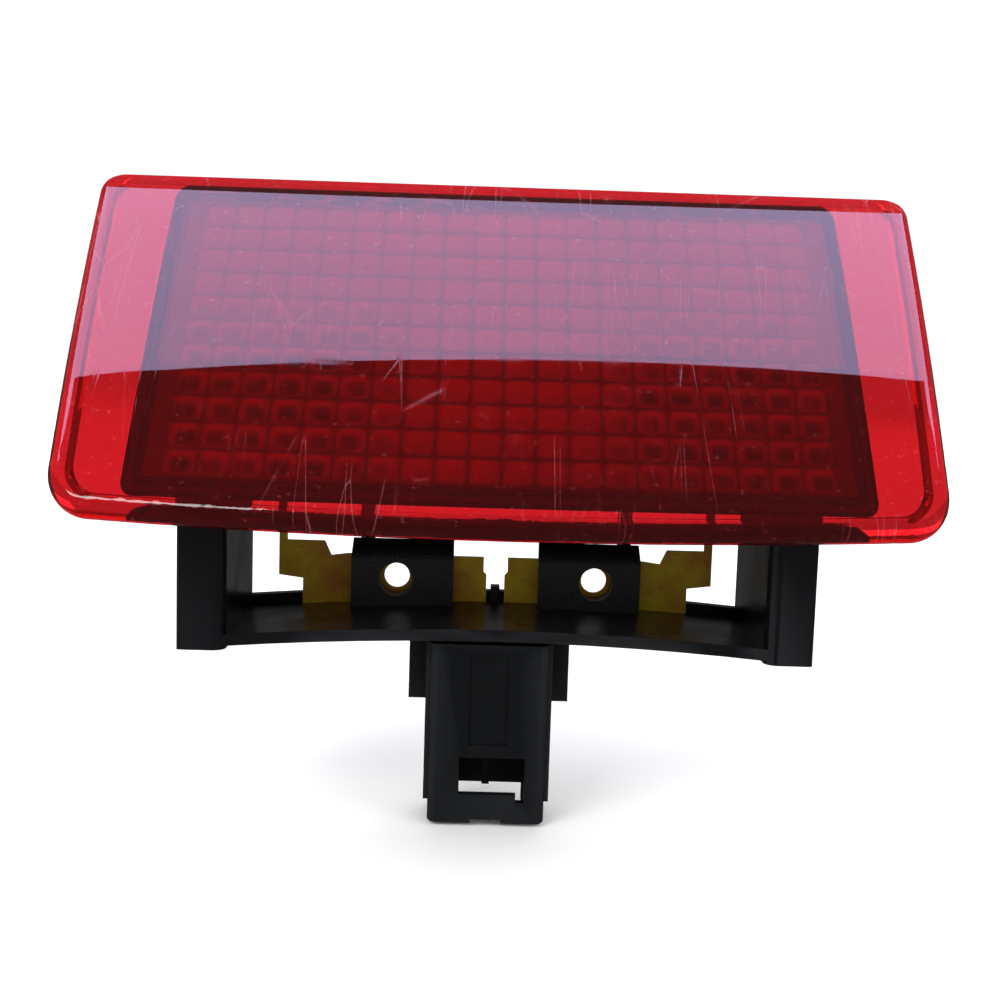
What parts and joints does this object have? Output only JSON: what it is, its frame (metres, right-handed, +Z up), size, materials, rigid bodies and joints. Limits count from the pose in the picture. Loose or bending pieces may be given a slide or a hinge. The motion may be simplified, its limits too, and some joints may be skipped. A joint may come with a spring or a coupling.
{
  "type": "third brake light",
  "caption": "High-mounted stop lamp: leaning red lens on a black housing with a screw-on frame, plug socket and a twist-out bulb holder at the rear.",
  "frame": {"origin": "midway between the two screw holes, on the front faces of the screw bosses", "axes": "front of the lamp towards -Y, +Z up, +X to the right seen from the front"},
  "size_m": [0.1376, 0.0697, 0.1008],
  "materials": {
    "red_lens": "clear red acrylic, polished",
    "red_optic": "clear red acrylic with square pillow cells",
    "sealant": "hot-melt bead",
    "black_plastic": "semi-gloss moulded",
    "metallised": "vacuum metallised",
    "zinc_steel": "zinc plated",
    "yellow_zinc": "yellow passivated sheet steel",
    "socket_plastic": "semi-gloss moulded",
    "carrier_plastic": "moulded",
    "terminal_brass": "stamped strip",
    "holder_plastic": "glass-filled moulded",
    "rubber_ring": "moulded ring",
    "contact_brass": "spring strip",
    "bulb_glass": "clear",
    "tungsten": "drawn wire",
    "lead_wire": "drawn wire",
    "bead_glass": "clear",
    "vent_foam": "open-cell plug"
  },
  "bodies": {
    "lamp": {"outer_lens": "red_lens", "prism_lens": "red_optic", "lens_seal": "sealant", "lamp_housing": "black_plastic", "reflector": "metallised", "reflector_screws": "zinc_steel", "left_nut_plate": "yellow_zinc", "right_nut_plate": "yellow_zinc", "plug_socket": "socket_plastic", "pin_carrier": "carrier_plastic", "left_terminal": "terminal_brass", "right_terminal": "terminal_brass", "vent_plug": "vent_foam"},
    "holder": {"bulb_holder": "holder_plastic", "holder_seal": "rubber_ring", "left_contact": "contact_brass", "right_contact": "contact_brass", "bulb_glass": "bulb_glass", "filament": "tungsten", "left_lead": "lead_wire", "right_lead": "lead_wire", "glass_bead": "bead_glass"}
  },
  "joints": [
    {"name": "holder_twist", "type": "hinge", "parent": "lamp", "child": "holder", "pos_m": [0, 0.028, 0.037], "axis": [0, 1, 0], "range_deg": [0, 50]}
  ]
}
